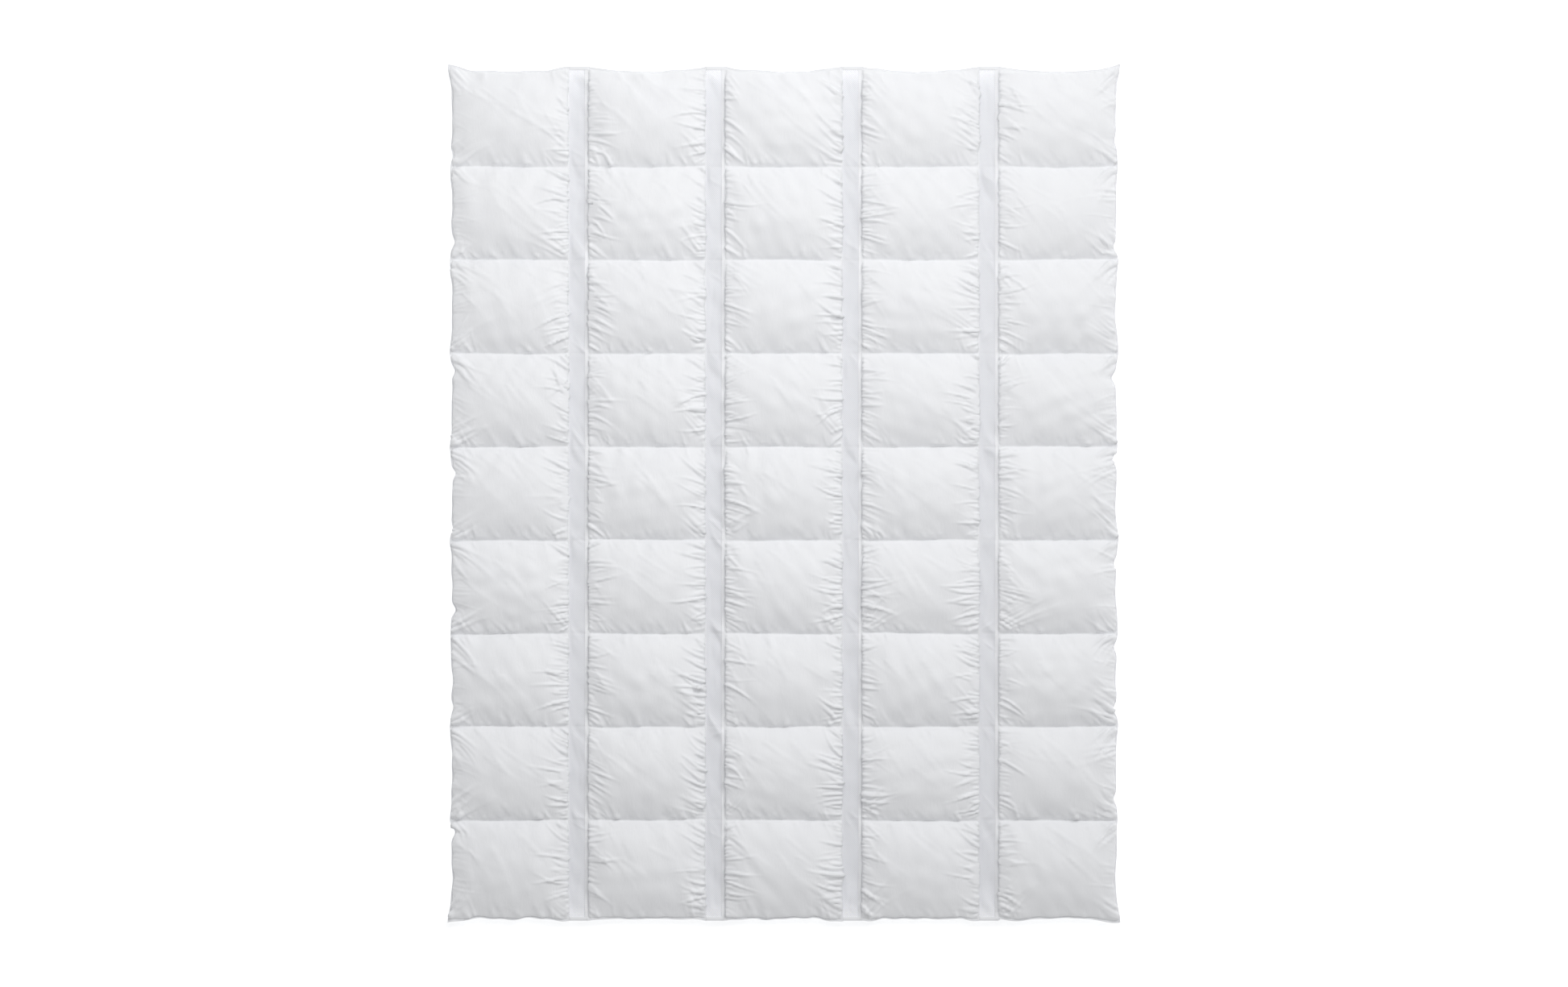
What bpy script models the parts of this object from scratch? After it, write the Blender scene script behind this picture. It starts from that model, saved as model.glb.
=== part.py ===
"""A down duvet, quilted into boxes, with a mesh ventilation strip between each two columns of boxes.

X runs across the width, Y along the length towards the head end, and Z up. The duvet lies flat on z = 0,
and the origin is the middle of its underside. Each column is a top and a bottom panel of ticking, sewn
together round every box, and each box holds its own down. The columns hang together by their mesh strips,
whose edges are sewn in between the two panels, and they fold against each other about the middle of a
strip. The middle column stays put, and each column beside it carries the next one out.
"""

import bmesh
import bpy

# Sizes in metres.
COLUMNS = 5
ROWS = 9
COLUMN_WIDTH = 0.262  # a box across, from seam to seam
ROW_PITCH = 0.2155  # a box along, from one row seam to the next
STRIP_WIDTH = 0.051  # from one column's seam to the next column's
SEAM_LAP = 0.004  # flat edge of a panel, outside its seam, that covers the edge of the mesh
TAPE_WIDTH = 0.008  # tape sewn along the mesh, on its +X side
HEM_WIDTH = 0.008  # flat sewn edge all round the duvet
LOFT_ABOVE = 0.036  # crown of a box above the seams
LOFT_BELOW = 0.024  # seams above the surface that the duvet lies on
TICKING = 0.0006  # cloth of the panels
MESH = 0.0008  # knitted mesh of the strips
TAPE = 0.0005  # what the tape adds to each face of the mesh
LAYER_GAP = 0.0003  # between two layers of cloth that are sewn together
FILL_GAP = 0.0004  # from the down to the ticking, measured upright
FILL_INSET = 0.010  # from a seam to the rim of the down
TAPE_BEVEL = 0.0003  # sloping edges of the tape

# Where the grid lines of a box lie, as shares of its side, and how far it is puffed up on each of them.
BOX_LINES = (0.0, 0.12, 0.32, 0.68, 0.88, 1.0)
PUFF_ABOVE = (0.0, 0.62, 1.0, 1.0, 0.62, 0.0)
PUFF_BELOW = (0.0, 0.85, 1.0, 1.0, 0.85, 0.0)

COLUMN_PITCH = COLUMN_WIDTH + STRIP_WIDTH
LENGTH = ROWS * ROW_PITCH + 2 * HEM_WIDTH
SEAM_Z = LOFT_BELOW
MIDDLE = COLUMNS // 2  # the column that stays put, counted from 0
SHARP_ANGLE = 0.7  # creases over 40 degrees stay crisp, which keeps the seams

# Colour, roughness and metallic value.
LOOKS = {
    "ticking": ((0.84, 0.85, 0.87, 1.0), 0.75, 0.0),
    "mesh": ((0.66, 0.70, 0.78, 1.0), 0.8, 0.0),
    "down": ((0.90, 0.89, 0.86, 1.0), 0.95, 0.0),
}


def clear_scene():
    for obj in list(bpy.data.objects):
        bpy.data.objects.remove(obj, do_unlink=True)


def material(name, kind):
    colour, roughness, metallic = LOOKS[kind]
    made = bpy.data.materials.new(name)
    made.use_nodes = True
    shader = made.node_tree.nodes["Principled BSDF"]
    shader.inputs["Base Color"].default_value = colour
    shader.inputs["Roughness"].default_value = roughness
    shader.inputs["Metallic"].default_value = metallic
    return made


def puff(along, puffs):
    """How far a box is puffed up at a share of its side, read straight between its grid lines."""
    for line, puffed, next_line, next_puffed in zip(BOX_LINES, puffs, BOX_LINES[1:], puffs[1:]):
        if along <= next_line:
            share = (along - line) / (next_line - line)
            return puffed + share * (next_puffed - puffed)
    return puffs[-1]


def cell_diagonal(corners, outward):
    """The two triangles of a grid cell, split along the diagonal that stands out further."""
    a, b, c, d = corners
    if outward * (a.co.z + c.co.z) >= outward * (b.co.z + d.co.z):
        return (a, b, c), (a, c, d)
    return (a, b, d), (b, c, d)


def grid_surface(bm, xs, ys, height, outward):
    """A surface of triangles over the grid of xs and ys. height(i, j) gives its z at a grid point."""
    rows = [[bm.verts.new((x, y, height(i, j))) for i, x in enumerate(xs)] for j, y in enumerate(ys)]
    for low, high in zip(rows, rows[1:]):
        for i in range(len(xs) - 1):
            corners = (low[i], low[i + 1], high[i + 1], high[i])
            for triangle in cell_diagonal(corners, outward):
                bm.faces.new(triangle)
    return rows


def border(rows):
    """The vertices round a grid, in order."""
    right = [row[-1] for row in rows[1:-1]]
    left = [row[0] for row in rows[1:-1]]
    return rows[0] + right + rows[-1][::-1] + left[::-1]


def closed_body(name, xs, ys, low, high, outward_low, outward_high):
    """The mesh between two heights, low and high, over the same grid."""
    bm = bmesh.new()
    under = border(grid_surface(bm, xs, ys, low, outward_low))
    over = border(grid_surface(bm, xs, ys, high, outward_high))
    for k, vertex in enumerate(under):
        bm.faces.new((under[k - 1], vertex, over[k], over[k - 1]))
    bmesh.ops.recalc_face_normals(bm, faces=bm.faces)
    mesh = bpy.data.meshes.new(name)
    bm.to_mesh(mesh)
    bm.free()
    mesh.shade_smooth()
    mesh.set_sharp_from_angle(angle=SHARP_ANGLE)
    return mesh


def edge_widths(column):
    """The flat edge of a column's panels on its -X and +X side: a lap over the mesh, or the hem."""
    left = SEAM_LAP if column > 0 else HEM_WIDTH
    right = SEAM_LAP if column < COLUMNS - 1 else HEM_WIDTH
    return left, right


def panel_lines(column):
    """The grid lines of a column's panels, with the puff of each line, in X and then in Y."""
    left, right = edge_widths(column)
    across = [(-COLUMN_WIDTH / 2 - left, 0.0)]
    across += [((line - 0.5) * COLUMN_WIDTH, line) for line in BOX_LINES]
    across += [(COLUMN_WIDTH / 2 + right, 0.0)]
    start = -LENGTH / 2 + HEM_WIDTH
    along = [(-LENGTH / 2, 0.0), (start, 0.0)]
    for row in range(ROWS):
        along += [(start + (row + line) * ROW_PITCH, line) for line in BOX_LINES[1:]]
    along += [(LENGTH / 2, 0.0)]
    return across, along


def seam_offset(column, i, last):
    """How far the inner face of a panel's grid line i lies from the seams where it isn't puffed up."""
    beside_strip = (i <= 1 and column > 0) or (i >= last - 1 and column < COLUMNS - 1)
    return MESH / 2 + LAYER_GAP if beside_strip else LAYER_GAP / 2


def panel_mesh(column, puffs, loft, side):
    """A panel on the upper side (side 1) or the lower side (side -1) of a column."""
    across, along = panel_lines(column)

    def inner(i, j):
        offset = seam_offset(column, i, len(across) - 1)
        puffed = puff(across[i][1], puffs) * puff(along[j][1], puffs)
        return SEAM_Z + side * (offset + (loft - TICKING - offset) * puffed)

    def outer(i, j):
        return inner(i, j) + side * TICKING

    low, high = (inner, outer) if side > 0 else (outer, inner)
    xs = [x for x, _ in across]
    ys = [y for y, _ in along]
    return closed_body(f"panel_c{column + 1}", xs, ys, low, high, side, side)


def fill_lines(size):
    """The grid lines of the down in a box, as shares of the box's side."""
    rim = FILL_INSET / size
    return [rim, *BOX_LINES[1:-1], 1 - rim]


def fill_puff(u, v, puffs):
    """The height of a panel's cloth over a point of a box, as a share of its loft.

    Between a seam and the first line inside it, the cloth rises straight from the seam. In a corner it
    rises from both seams, and the nearer one sets its height.
    """
    first = BOX_LINES[1]
    from_side = min(u, 1 - u) / first
    from_end = min(v, 1 - v) / first
    if max(from_side, from_end) < 1:
        return min(from_side, from_end) * puffs[1] ** 2
    return puff(u, puffs) * puff(v, puffs)


def fill_mesh():
    """The down of one box, centred on the box in X and Y."""
    us = fill_lines(COLUMN_WIDTH)
    vs = fill_lines(ROW_PITCH)
    offset = LAYER_GAP / 2

    def under(i, j):
        depth = (LOFT_BELOW - TICKING - offset) * fill_puff(us[i], vs[j], PUFF_BELOW)
        return SEAM_Z - offset - depth + FILL_GAP

    def over(i, j):
        rise = (LOFT_ABOVE - TICKING - offset) * fill_puff(us[i], vs[j], PUFF_ABOVE)
        return SEAM_Z + offset + rise - FILL_GAP

    xs = [(u - 0.5) * COLUMN_WIDTH for u in us]
    ys = [(v - 0.5) * ROW_PITCH for v in vs]
    return closed_body("down", xs, ys, under, over, -1, 1)


def strip_mesh():
    """A mesh strip, centred on its own middle line, with the tape along its +X side."""
    edge = STRIP_WIDTH / 2 - 2 * LAYER_GAP
    tape_end = STRIP_WIDTH / 2 - SEAM_LAP - LAYER_GAP
    tape_start = tape_end - TAPE_WIDTH
    lines = [
        (-edge, 0.0),
        (tape_start - TAPE_BEVEL, 0.0),
        (tape_start, TAPE),
        (tape_end - TAPE_BEVEL, TAPE),
        (tape_end, 0.0),
        (edge, 0.0),
    ]

    def under(i, j):
        return SEAM_Z - MESH / 2 - lines[i][1]

    def over(i, j):
        return SEAM_Z + MESH / 2 + lines[i][1]

    xs = [x for x, _ in lines]
    return closed_body("mesh_strip", xs, [-LENGTH / 2, LENGTH / 2], under, over, -1, 1)


def column_x(column):
    return (column - MIDDLE) * COLUMN_PITCH


def fold_x(strip):
    """The middle of a strip, counted from 0, where the columns on its two sides fold."""
    return (strip - MIDDLE + 0.5) * COLUMN_PITCH


def make_folds():
    """One empty for each column to hang from: the middle one at the origin, each other on its fold."""
    empties = {}
    for column in sorted(range(COLUMNS), key=lambda c: abs(c - MIDDLE)):
        empty = bpy.data.objects.new(f"column_{column + 1}", None)
        bpy.context.scene.collection.objects.link(empty)
        inward = column + 1 if column < MIDDLE else column - 1
        if column == MIDDLE:
            world = (0.0, 0.0, 0.0)
        else:
            world = (fold_x(min(column, inward)), 0.0, SEAM_Z)
            empty.parent = empties[inward][0]
            parent_world = empties[inward][1]
            empty.location = [a - b for a, b in zip(world, parent_world)]
        empties[column] = (empty, world)
    return empties


def place(name, mesh, hanger, x, y, made):
    """Puts a mesh at x, y as a named object that moves with its column."""
    empty, world = hanger
    obj = bpy.data.objects.new(name, mesh)
    obj.parent = empty
    obj.location = (x - world[0], y - world[1], -world[2])
    if not mesh.materials:
        mesh.materials.append(made)
    bpy.context.scene.collection.objects.link(obj)


def make_panels(hangers):
    for column in range(COLUMNS):
        upper = panel_mesh(column, PUFF_ABOVE, LOFT_ABOVE, 1)
        lower = panel_mesh(column, PUFF_BELOW, LOFT_BELOW, -1)
        for side, mesh in (("top", upper), ("bottom", lower)):
            name = f"{side}_ticking_c{column + 1}"
            place(name, mesh, hangers[column], column_x(column), 0.0, material(name, "ticking"))


def make_fills(hangers):
    mesh = fill_mesh()
    made = material("down_fill", "down")
    for column in range(COLUMNS):
        for row in range(ROWS):
            y = ((ROWS - 1) / 2 - row) * ROW_PITCH
            place(f"down_fill_c{column + 1}_r{row + 1}", mesh, hangers[column], column_x(column), y, made)


def make_strips(hangers):
    """Each strip moves with the column beside it that lies nearer the middle of the duvet."""
    mesh = strip_mesh()
    made = material("mesh_strip", "mesh")
    for strip in range(COLUMNS - 1):
        inner = strip + 1 if strip < MIDDLE else strip
        place(f"mesh_strip_{strip + 1}", mesh, hangers[inner], fold_x(strip), 0.0, made)


clear_scene()
columns = make_folds()
make_panels(columns)
make_fills(columns)
make_strips(columns)
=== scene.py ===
"""The looks of a down duvet quilted into boxes, with ventilation strips of knitted mesh between its columns.

Each column of boxes is one padded cover: a top and a bottom panel of cotton ticking, sewn together round
every box and blown up by the down inside. The panels are longer than the strips that they are sewn to, so
the cloth is gathered along every strip. X runs across the duvet, Y towards its head end, Z up. All sizes
are in metres unless a name says otherwise.
"""

import math

import bpy
import numpy as np
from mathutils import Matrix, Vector


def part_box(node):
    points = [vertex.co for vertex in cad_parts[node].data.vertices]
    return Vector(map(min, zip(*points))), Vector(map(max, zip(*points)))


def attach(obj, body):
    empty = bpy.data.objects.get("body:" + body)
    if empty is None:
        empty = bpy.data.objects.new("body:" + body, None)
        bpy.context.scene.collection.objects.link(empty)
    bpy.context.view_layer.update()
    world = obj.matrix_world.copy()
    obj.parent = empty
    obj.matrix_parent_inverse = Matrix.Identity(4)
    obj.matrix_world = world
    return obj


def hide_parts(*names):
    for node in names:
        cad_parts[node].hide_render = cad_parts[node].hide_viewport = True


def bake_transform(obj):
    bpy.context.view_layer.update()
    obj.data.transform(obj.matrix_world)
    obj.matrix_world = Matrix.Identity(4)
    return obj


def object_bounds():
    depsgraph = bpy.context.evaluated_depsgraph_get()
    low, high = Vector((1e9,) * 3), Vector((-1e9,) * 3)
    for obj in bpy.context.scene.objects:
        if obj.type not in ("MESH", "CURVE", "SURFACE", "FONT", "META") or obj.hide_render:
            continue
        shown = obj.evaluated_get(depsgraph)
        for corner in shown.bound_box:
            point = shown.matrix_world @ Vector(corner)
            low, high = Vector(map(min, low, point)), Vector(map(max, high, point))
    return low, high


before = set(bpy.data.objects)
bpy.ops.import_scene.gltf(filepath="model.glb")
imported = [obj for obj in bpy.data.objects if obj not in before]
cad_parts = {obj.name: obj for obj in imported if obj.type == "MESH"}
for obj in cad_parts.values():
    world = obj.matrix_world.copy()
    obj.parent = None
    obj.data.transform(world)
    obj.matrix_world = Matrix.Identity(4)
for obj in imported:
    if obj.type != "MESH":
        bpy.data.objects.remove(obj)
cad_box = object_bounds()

# ---------------------------------------------------------------- driving sizes

COLUMNS = 5
ROWS = 9
SEAM_LAP = 0.004  # flat edge of a panel outside its seam, over the edge of the mesh
HEM_WIDTH = 0.008  # flat sewn edge all round the duvet
TAPE_WIDTH = 0.008  # cotton tape along each strip, on its +X side
TAPE_GAP = 0.0003  # from the tape to the lap of the next panel
TAPE_DIMPLE = 0.0004  # the tape dips under each stitch
CLOTH = 0.0006  # ticking
NEAR = 0.0528  # width of the finely gathered cloth beside a seam
NEAR_CELLS = 12  # grid cells across that cloth
MIDDLE_CELLS = 17  # across the rest of a box
ROW_CELLS = 49  # along a box
LAP_CELL = 0.004
MESH_CELL = 0.0022  # half the diagonal of a diamond of the knitted mesh
FOLD_ROOM = 0.54  # most height of a column's top, as a share of its distance from the fold beside it
HOLE_SHARE = 0.46  # width of a hole in the mesh, as a share of its diamond
INNER_ROW_CUT = 0.009  # share by which the inner rows are shorter than ROW_PITCH
HEM_DRAW = 0.0040  # how far the down draws the side and end seams outwards over the hem
STRIP_DRAW = (0.0032, 0.0010)  # and over the lap beside a strip, on the -X and the +X side of a column
DRAW_REACH = 0.06  # how far into the boxes these pulls are felt
HEM_BULGE = 0.0040  # how far the filled cloth stands out over the hem
STRIP_BULGE = (0.0022, 0.0030)  # and over the laps beside the strips
SPARE = 0.015  # spare cloth everywhere, as a share of its length
SPARE_AT_STRIPS = 0.08  # and more beside the strips
FRAMES = 14  # steps in which the down fills a cover
HIGHEST = 0.009  # most height of a fold over the crown of the boxes
LAP_RISE = 0.0007  # how far a panel stands off the seam plane over the mesh's edge
HEM_RISE = 0.0008  # in the folded hem
SEAM_RISE = 0.0004  # on a seam beside a strip
BED_GAP = 0.0002  # least distance from the underside to the bed
ROW_DENT = 0.0012  # how deep the row seams press the mesh
TAPE_HALF_THICK = 0.00045
STITCH_LIFT = 0.0003  # from the cloth up to the middle of a stitch
FLOOR_GLOW = 0.45  # strength of the floor's painted glow outside the duvet's outline: painted light that keeps the floor white there
FLOOR_GLOW_BELOW = 0.12  # and under the duvet, a weaker painted glow that stands for the shade there
FLOOR_DROP = 0.0005  # from the underside down to the floor
STITCHES = {"Stitch pitch": 0.0040, "Stitch length": 0.0030, "Thread thickness": 0.0009}

_low, _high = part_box("top_ticking_c1")
FOOT, HEAD, CROWN_Z = _low.y, _high.y, _high.z
FLOOR_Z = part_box("bottom_ticking_c1")[0].z
_low, _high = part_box("mesh_strip_1")
SEAM_Z = (_low.z + _high.z) / 2
MESH_WIDTH = _high.x - _low.x
ROW_PITCH = (HEAD - FOOT - 2 * HEM_WIDTH) / ROWS
PUCKER_PITCH = ROW_PITCH / ROW_CELLS  # one pucker to each two lines of the fine grid
FIRST_SEAM, LAST_SEAM = FOOT + HEM_WIDTH, HEAD - HEM_WIDTH  # the row seams along the hem
LOFT = CROWN_Z - SEAM_Z
DEPTH = SEAM_Z - FLOOR_Z


# ---------------------------------------------------------------- small tools


def smooth(t):
    """0 below 0, 1 above 1, and an S-shaped rise between."""
    t = np.clip(t, 0.0, 1.0)
    return t * t * (3.0 - 2.0 * t)


def wander(at, rng, size, shortest, waves=6):
    """A smooth random line along the numbers in at, about +-size, with no wave under shortest long."""
    out = np.zeros_like(at, dtype=float)
    for _ in range(waves):
        out += np.sin(2 * math.pi * (at / (shortest * rng.uniform(1.0, 4.0)) + rng.random()))
    return out * size / math.sqrt(waves)


def halve(values, creases):
    """Twice as many cells along the first axis. A midpoint follows a smooth curve that breaks at creases."""
    step = np.diff(values, axis=0)
    turn = np.zeros_like(values)
    turn[1:-1] = (values[2:] - values[:-2]) / 2
    start, end = turn[:-1].copy(), turn[1:].copy()
    for k in {0, len(values) - 1, *creases}:
        if k < len(step):
            start[k] = step[k]
        if k > 0:
            end[k - 1] = step[k - 1]
    out = np.empty((2 * len(values) - 1, *values.shape[1:]))
    out[::2] = values
    out[1::2] = (values[:-1] + values[1:]) / 2 + (start - end) / 8
    return out


def mesh_object(name, points, faces, edges=()):
    mesh = bpy.data.meshes.new(name)
    mesh.from_pydata(points.tolist() if hasattr(points, "tolist") else points, edges, faces)
    mesh.update()
    obj = bpy.data.objects.new(name, mesh)
    bpy.context.scene.collection.objects.link(obj)
    return obj


def grid_faces(rows, lines, first=0, flipped=False):
    """Quads over a grid of rows by lines of points, facing up unless flipped."""
    j, i = np.meshgrid(np.arange(rows - 1), np.arange(lines - 1), indexing="ij")
    a = (first + j * lines + i).ravel()
    quads = np.stack([a, a + 1, a + lines + 1, a + lines], axis=1)
    return quads[:, ::-1] if flipped else quads


# ---------------------------------------------------------------- the plan of a column


class Plan:
    """Grid lines of one column's panels, and where each lies in its box."""

    def __init__(self, xs, ys, left, right):
        self.xs, self.ys = xs, ys
        self.left, self.right = left, right  # the two side seams
        self.width = right - left
        self.u = np.clip((xs - left) / self.width, 0, 1)
        along = np.clip((ys - FIRST_SEAM) / ROW_PITCH, 0, ROWS)
        self.row = np.minimum(np.floor(along + 1e-6), ROWS - 1).astype(int)
        self.v = np.clip(along - self.row, 0, 1)
        self.side_seams = [int(np.argmin(abs(xs - left))), int(np.argmin(abs(xs - right)))]
        self.row_seams = [int(np.argmin(abs(ys - FIRST_SEAM - k * ROW_PITCH))) for k in range(ROWS + 1)]

    def halved(self):
        """The same plan with twice as many cells each way."""
        xs, ys = (np.insert(a, range(1, len(a)), (a[1:] + a[:-1]) / 2) for a in (self.xs, self.ys))
        return Plan(xs, ys, self.left, self.right)

    def box(self, row):
        """The part of the grid that one box takes, and x and y there from the box's -X, -Y corner."""
        first, last = self.side_seams
        low, high = self.row_seams[row], self.row_seams[row + 1]
        xs = (self.xs[first : last + 1] - self.left)[None, :]
        ys = (self.ys[low : high + 1] - self.ys[low])[:, None]
        return np.s_[low : high + 1, first : last + 1], *np.broadcast_arrays(xs, ys)


def lines_of(start, runs):
    """Coordinates of grid lines, from runs of (length, cells)."""
    out = [start]
    for length, cells in runs:
        out += list(out[-1] + length * np.arange(1, cells + 1) / cells)
    return np.array(out)


def hems_of(column):
    """Whether a column's -X side is the hem of the duvet, and whether its +X side is."""
    return column == 1, column == COLUMNS


def plan_of(column):
    low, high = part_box(f"top_ticking_c{column}")
    left_lap, right_lap = (HEM_WIDTH if is_hem else SEAM_LAP for is_hem in hems_of(column))
    left, right = low.x + left_lap, high.x - right_lap
    xs = lines_of(
        low.x,
        [
            (left_lap, round(left_lap / LAP_CELL)),
            (NEAR, NEAR_CELLS),
            (right - left - 2 * NEAR, MIDDLE_CELLS),
            (NEAR, NEAR_CELLS),
            (right_lap, round(right_lap / LAP_CELL)),
        ],
    )
    hem = (HEM_WIDTH, round(HEM_WIDTH / LAP_CELL))
    ys = lines_of(FOOT, [hem] + [(ROW_PITCH, ROW_CELLS)] * ROWS + [hem])
    return Plan(xs, ys, left, right)


# ---------------------------------------------------------------- shapes of the cover


def row_seam_shift(seam):
    """How far a row seam lies from its even place: the end rows are cut a little longer than the others."""
    if seam in (0, ROWS):
        return 0.0
    return -INNER_ROW_CUT * (seam - ROWS / 2) * ROW_PITCH


def puffed(plan, side_power, row_power):
    """How far the cloth is blown up over each grid point, from 0 on a seam to 1 over a box's middle."""
    across = (1 - (2 * plan.u - 1) ** 2) ** side_power
    along = (1 - (2 * plan.v - 1) ** 2) ** row_power
    return along[:, None] * across[None, :]


def spread(plan, column):
    """X and Y of the grid points. Seams wander a little, and the hem is drawn in between the row seams."""
    rng = np.random.default_rng(700 + column)
    x, y = np.meshgrid(plan.xs, plan.ys)
    # The down draws the -X seam over its lap, up to the tape, and narrows the hem.
    for side, is_hem, at_strip in zip((-1, 1), hems_of(column), STRIP_DRAW):
        off = plan.xs - plan.left if side < 0 else plan.right - plan.xs
        lap = -off.min()
        drawn = np.where(off < 0, 1 + off / lap, smooth(1 - off / DRAW_REACH))
        x += side * (HEM_DRAW if is_hem else at_strip) * drawn[None, :]
    for end, way in ((FIRST_SEAM, -1), (LAST_SEAM, 1)):
        off = way * (end - plan.ys)
        drawn = np.where(off < 0, np.maximum(1 + off / HEM_WIDTH, 0), smooth(1 - off / DRAW_REACH))
        y += way * HEM_DRAW * drawn[:, None]
    seams = [wander(plan.xs, rng, 0.0011, 0.15, 3) + rng.normal(0, 0.0006) for _ in range(ROWS + 1)]
    seams = [seam + row_seam_shift(k) for k, seam in enumerate(seams)]
    seams[0] *= 0
    seams[-1] *= 0
    for r in range(ROWS):
        pick = np.flatnonzero(plan.row == r)
        v = plan.v[pick][:, None]
        y[pick] += (1 - v) * seams[r][None, :] + v * seams[r + 1][None, :]
    # The two ends: the cloth is drawn in over each box, more at the head end.
    arch = np.sin(math.pi * plan.u) ** 0.75
    head = 0.0115 * arch + wander(plan.xs, rng, 0.0013, 0.05)
    foot = 0.0045 * arch + wander(plan.xs, rng, 0.0022, 0.045)
    near_head = smooth(1 - (HEAD - plan.ys) / 0.09)
    near_foot = smooth(1 - (plan.ys - FOOT) / 0.09)
    y -= near_head[:, None] * head[None, :]
    y += near_foot[:, None] * foot[None, :]
    # The outer side of an outer column.
    for side, is_hem in zip((-1, 1), hems_of(column)):
        if not is_hem:
            continue
        along = (plan.ys - FIRST_SEAM) / ROW_PITCH
        draw = 0.0052 * np.abs(np.sin(math.pi * along)) ** 0.8 + wander(plan.ys, rng, 0.0010, 0.05)
        for k in range(1, ROWS):
            notch = k + rng.choice([-1, 1]) * rng.uniform(0.10, 0.28)
            draw += rng.uniform(0.004, 0.0105) * np.exp(-(((along - notch) / 0.06) ** 2))
        corner = np.minimum(plan.ys - FOOT, HEAD - plan.ys)
        draw = draw * smooth(corner / 0.04) - 0.005 * smooth(1 - corner / 0.06)
        edge = plan.xs[-1] if side > 0 else plan.xs[0]
        near = smooth(1 - abs(plan.xs - edge) / 0.075)
        x -= side * draw[:, None] * near[None, :]
        # The corners of the duvet point outwards.
        corner_x = smooth(1 - abs(plan.xs - edge) / 0.05)
        y += 0.004 * corner_x[None, :] * (near_head - near_foot)[:, None]
    return x, y


def top_start(plan, x, y):
    """The top panel before the down fills it."""
    z = SEAM_Z + CLOTH / 2 + (LOFT - CLOTH) * puffed(plan, 0.45, 0.80)
    return np.stack([x, y, z], axis=-1)


def overhang(off):
    """How much of its bulge the cloth shows at a distance from its seam."""
    return np.exp(-(((off - 0.0066) / 0.0085) ** 2)) * smooth(off / 0.0045)


def bulge(points, plan, column):
    """The filled cloth stands out over its seams: over the laps beside the strips and over the hem."""
    rng = np.random.default_rng([column, 31])
    along = (1 - (2 * plan.v - 1) ** 2) ** 0.45
    for side, is_hem, at_strip in zip((-1, 1), hems_of(column), STRIP_BULGE):
        off = plan.xs - plan.left if side < 0 else plan.right - plan.xs
        size = (HEM_BULGE if is_hem else at_strip) * along * (1 + wander(plan.ys, rng, 0.22, 0.02))
        points[..., 0] += side * size[:, None] * overhang(off)[None, :]
    between = (1 - (2 * plan.u - 1) ** 2) ** 0.45
    for end, way in ((FIRST_SEAM, -1), (LAST_SEAM, 1)):
        size = HEM_BULGE * between * (1 + wander(plan.xs, rng, 0.15, 0.02))
        points[..., 1] += way * overhang(way * (end - plan.ys))[:, None] * size[None, :]


def leave_room(points, column):
    """At the two outer strips the columns fold until 60 degrees are left, so their tops stay below 30."""
    for strip in (1, COLUMNS - 1):
        if column in (strip, strip + 1):
            low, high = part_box(f"mesh_strip_{strip}")
            away = abs(points[..., 0] - (low.x + high.x) / 2)
            points[..., 2] = np.minimum(points[..., 2], SEAM_Z + FOLD_ROOM * away)


def in_seams(plan):
    """True where the two panels are sewn together: the seams, the laps and the hem."""
    sewn = np.zeros((len(plan.ys), len(plan.xs)), bool)
    sewn[plan.row_seams] = True
    sewn[: plan.row_seams[0]] = True
    sewn[plan.row_seams[-1] :] = True
    sewn[:, : plan.side_seams[0] + 1] = True
    sewn[:, plan.side_seams[1] :] = True
    return sewn


# ---------------------------------------------------------------- folds and gathers


def ridge(x, y, foot, heading, length, width, height, bend=0.0):
    """Height of one fold that starts at foot on a seam, runs at heading, widens and dies out."""
    along = (x - foot[0]) * math.cos(heading) + (y - foot[1]) * math.sin(heading)
    share = along / length
    off = (y - foot[1]) * math.cos(heading) - (x - foot[0]) * math.sin(heading) - bend * along * share
    width = width * (1 + 1.2 * np.clip(share, 0, 1))
    fade = np.clip(1 - share, 0, 1) ** 1.3 * smooth((share + 0.05) / 0.08)
    return height * fade * np.exp(-((off / width) ** 2))


def gathers(x, y, width, length, side, rng, lean, strength):
    """Gathers along one side seam, where more cloth is sewn in than the seam is long. side is -1 or 1."""
    z = np.zeros_like(x)
    foot_x = 0.0 if side < 0 else width
    # Each stitch pulls up a tiny pucker.
    off = abs(x - foot_x)
    beat = np.cos(2 * math.pi * y / PUCKER_PITCH + 1.5 * np.sin(y / 0.021 + 6 * rng.random()))
    z += 4.5e-4 * strength * beat * np.exp(-off / 0.006)
    at = rng.uniform(0.001, 0.006)
    while at < length - 0.001:
        from_middle = 2 * at / length - 1
        fan = -side * 0.42 * from_middle + rng.normal(0, 0.15) - lean
        heading = fan if side < 0 else math.pi + fan
        reach = rng.uniform(0.034, 0.085) if rng.random() < 0.38 else rng.uniform(0.012, 0.032)
        reach *= 0.7 + 0.5 * math.sin(math.pi * at / length)
        size = rng.uniform(1.1, 3.9) * strength * (0.75 + 0.25 * reach / 0.05)
        shape = (heading, reach, rng.uniform(0.0012, 0.0020), size * 1e-3, rng.normal(0, 0.20))
        z += ridge(x, y, (foot_x, at), *shape)
        at += rng.uniform(0.0045, 0.0085)
    return z


def drags(x, y, rng, count, feet, headings, lengths, widths, heights):
    """Folds that the pull of the cloth draws over a box. Each pair is a least and a most."""
    z = np.zeros_like(x)
    for _ in range(rng.integers(*count)):
        foot = (rng.uniform(*feet[0]), rng.uniform(*feet[1]))
        shape = [rng.uniform(*pair) for pair in (headings, lengths, widths, heights)]
        z += ridge(x, y, foot, *shape, rng.normal(0, 0.15))
    return z


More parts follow.
